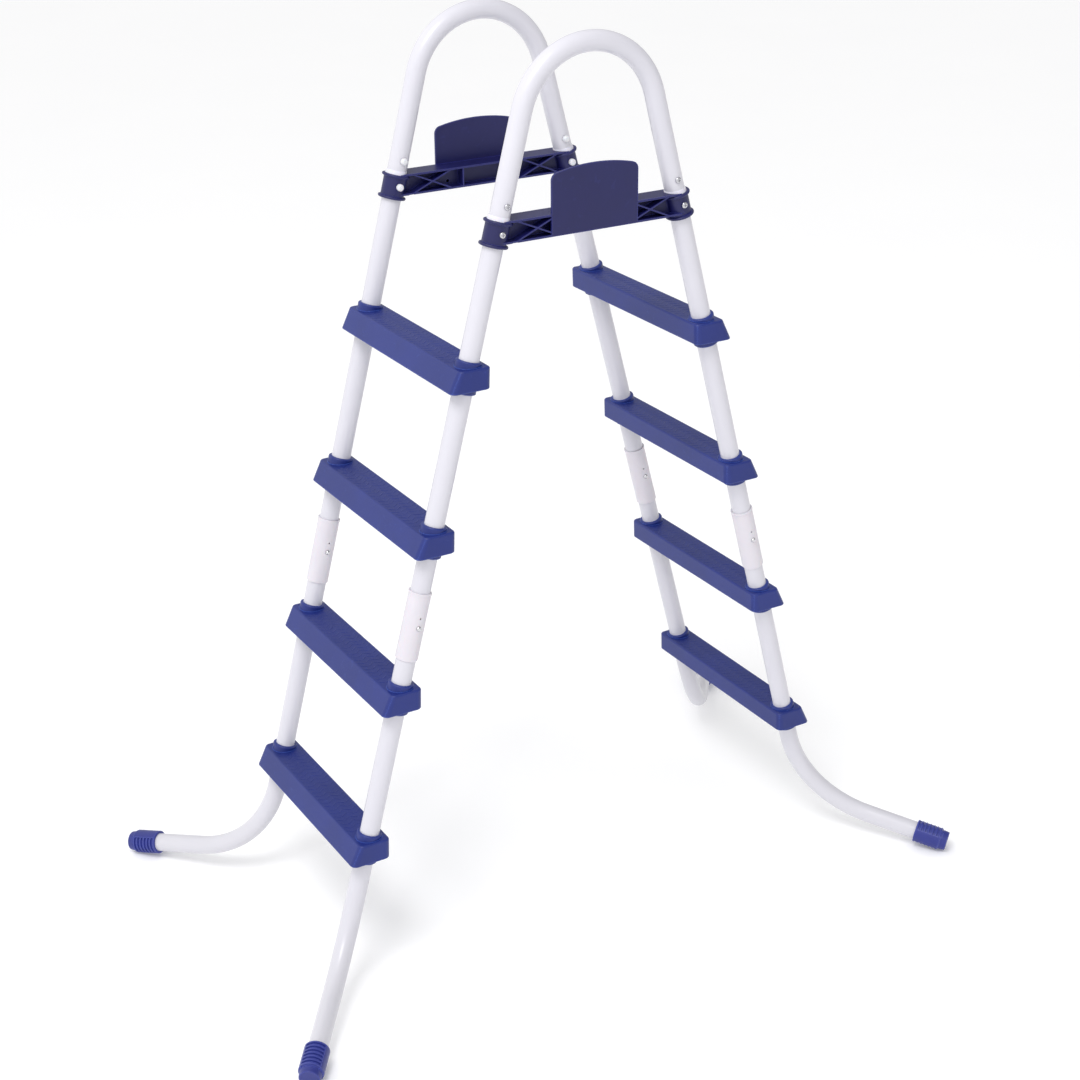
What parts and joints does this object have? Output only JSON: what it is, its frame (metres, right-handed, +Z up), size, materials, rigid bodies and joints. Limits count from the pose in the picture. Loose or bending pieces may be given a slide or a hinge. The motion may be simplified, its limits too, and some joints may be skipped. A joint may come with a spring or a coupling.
{
  "type": "pool ladder",
  "caption": "A-frame pool ladder with a step ladder each side of the wall, arched tube handrails, moulded steps and wall brackets, and splayed capped feet.",
  "frame": {"origin": "on the floor, below the middle of the wall brackets", "axes": "+Z up, X across the pool wall from one ladder to the other, Y along the width of the steps"},
  "size_m": [1.2918, 0.7912, 1.494],
  "materials": {
    "white_tube": "smooth white powder coat, slightly cool, semi-gloss",
    "white_sleeve": "white moulded plastic, faintly warmer than the tubes",
    "white_plug": "bright white moulded plastic",
    "blue_step": "medium royal blue moulded plastic, fine texture",
    "blue_bracket": "deep violet-blue moulded plastic, satin",
    "blue_cap": "soft royal blue moulded plastic",
    "chrome_button": "polished nickel",
    "spring_steel": "bare spring steel",
    "zinc_bolt": "bright zinc plating",
    "zinc_washer": "zinc plate",
    "zinc_nut": "zinc plate",
    "white_nut_cap": "white moulded plastic",
    "step_screw": "zinc plate"
  },
  "bodies": {
    "frame": {"handrail_front": "white_tube", "wall_bracket_front": "blue_bracket", "handrail_back": "white_tube", "wall_bracket_back": "blue_bracket", "step_left_1": "blue_step", "step_left_2": "blue_step", "step_left_3": "blue_step", "step_left_4": "blue_step", "step_screws_left": "step_screw", "step_right_1": "blue_step", "step_right_2": "blue_step", "step_right_3": "blue_step", "step_right_4": "blue_step", "step_screws_right": "step_screw", "upper_leg_left_front": "white_tube", "lower_leg_left_front": "white_tube", "joint_sleeve_left_front": "white_sleeve", "rail_plug_left_front": "white_plug", "foot_cap_left_front": "blue_cap", "button_spring_left_front": "spring_steel", "upper_leg_left_back": "white_tube", "lower_leg_left_back": "white_tube", "joint_sleeve_left_back": "white_sleeve", "rail_plug_left_back": "white_plug", "foot_cap_left_back": "blue_cap", "button_spring_left_back": "spring_steel", "upper_leg_right_front": "white_tube", "lower_leg_right_front": "white_tube", "joint_sleeve_right_front": "white_sleeve", "rail_plug_right_front": "white_plug", "foot_cap_right_front": "blue_cap", "button_spring_right_front": "spring_steel", "upper_leg_right_back": "white_tube", "lower_leg_right_back": "white_tube", "joint_sleeve_right_back": "white_sleeve", "rail_plug_right_back": "white_plug", "foot_cap_right_back": "blue_cap", "button_spring_right_back": "spring_steel", "rail_bolts": "zinc_bolt", "rail_washers": "zinc_washer", "rail_nuts": "zinc_nut", "rail_nut_caps": "white_nut_cap", "collar_bolts": "zinc_bolt", "collar_washers": "zinc_washer", "collar_nuts": "zinc_nut", "collar_nut_caps": "white_nut_cap"},
    "button_left_front": {"snap_button_left_front": "chrome_button"},
    "button_left_back": {"snap_button_left_back": "chrome_button"},
    "button_right_front": {"snap_button_right_front": "chrome_button"},
    "button_right_back": {"snap_button_right_back": "chrome_button"}
  },
  "joints": [
    {"name": "press_button_left_front", "type": "slide", "parent": "frame", "child": "button_left_front", "axis": [0, 1, 0], "range_m": [0, 0.006], "stiffness_N_per_m": 1200, "springref_m": -0.003, "deforming": ["button_spring_left_front"]},
    {"name": "press_button_left_back", "type": "slide", "parent": "frame", "child": "button_left_back", "axis": [0, 1, 0], "range_m": [0, 0.006], "stiffness_N_per_m": 1200, "springref_m": -0.003, "deforming": ["button_spring_left_back"]},
    {"name": "press_button_right_front", "type": "slide", "parent": "frame", "child": "button_right_front", "axis": [0, 1, 0], "range_m": [0, 0.006], "stiffness_N_per_m": 1200, "springref_m": -0.003, "deforming": ["button_spring_right_front"]},
    {"name": "press_button_right_back", "type": "slide", "parent": "frame", "child": "button_right_back", "axis": [0, 1, 0], "range_m": [0, 0.006], "stiffness_N_per_m": 1200, "springref_m": -0.003, "deforming": ["button_spring_right_back"]}
  ]
}
